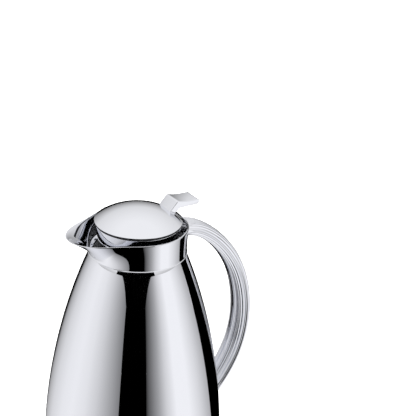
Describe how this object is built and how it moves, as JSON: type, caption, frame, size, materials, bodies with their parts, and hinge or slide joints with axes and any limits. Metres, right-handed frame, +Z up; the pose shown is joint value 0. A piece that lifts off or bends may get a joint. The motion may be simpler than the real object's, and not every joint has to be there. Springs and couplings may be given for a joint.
{
  "type": "vacuum jug",
  "caption": "Chromed vacuum jug with a broad pouring spout, a ribbed loop handle and a domed screw-out stopper whose valve opens by a thumb lever.",
  "frame": {"origin": "on the jug's axis, in the flat underside that it stands on", "axes": "+Z up along the jug's axis, +X from the axis towards the handle, so the spout points to -X"},
  "size_m": [0.1765, 0.14, 0.2899],
  "materials": {
    "chrome_plate": "mirror-bright chrome plate on drawn or cast metal",
    "bright_steel": "plain bright steel",
    "liner_glass": "blown glass, silvered inside its walls",
    "black_plastic": "moulded, fine matt",
    "grey_plastic": "moulded, polished",
    "black_silicone": "moulded silicone, matt",
    "clear_silicone": "moulded translucent silicone"
  },
  "bodies": {
    "jug": {"body_shell": "chrome_plate", "base_pad": "black_silicone", "base_cap": "black_plastic", "glass_flask": "liner_glass", "flask_cushion": "clear_silicone", "neck_gasket": "black_silicone", "neck_insert": "black_plastic", "spout_ring": "chrome_plate", "handle": "chrome_plate", "handle_screw_upper": "bright_steel", "handle_screw_lower": "bright_steel"},
    "seal": {"stopper_seal": "black_silicone"},
    "stopper": {"dome_cover": "chrome_plate", "dome_seal_ring": "black_silicone", "lid_base": "chrome_plate", "stopper_housing": "black_plastic", "stopper_screw_1": "bright_steel", "stopper_screw_2": "bright_steel", "stopper_screw_3": "bright_steel", "lever_bracket": "bright_steel", "bracket_screw_1": "bright_steel", "bracket_screw_2": "bright_steel", "lever_pin": "bright_steel"},
    "lever": {"thumb_lever": "chrome_plate"},
    "valve": {"valve_stem": "bright_steel", "stem_head": "black_plastic", "valve_plug": "grey_plastic", "valve_gasket": "black_silicone", "stem_nut": "bright_steel", "return_spring": "bright_steel"}
  },
  "joints": [
    {"name": "stopper_lift", "type": "slide", "parent": "jug", "child": "seal", "axis": [0, 0, 1], "range_m": [0, 0.07]},
    {"name": "stopper_turn", "type": "hinge", "parent": "seal", "child": "stopper", "pos_m": [0, 0, 0.2336], "axis": [0, 0, 1], "range_deg": [0, 120]},
    {"name": "lever_press", "type": "hinge", "parent": "stopper", "child": "lever", "pos_m": [0.024, 0, 0.2775], "axis": [0, 1, 0], "range_deg": [0, 12], "stiffness_Nm_per_rad": 0.4, "springref_deg": -6.88},
    {"name": "valve_lift", "type": "slide", "parent": "stopper", "child": "valve", "axis": [0, 0, 1], "range_m": [0, 0.0056], "deforming": ["return_spring"]}
  ],
  "couplings": [
    {"joint": "valve_lift", "follows": "lever_press", "m_per_rad": 0.024}
  ]
}
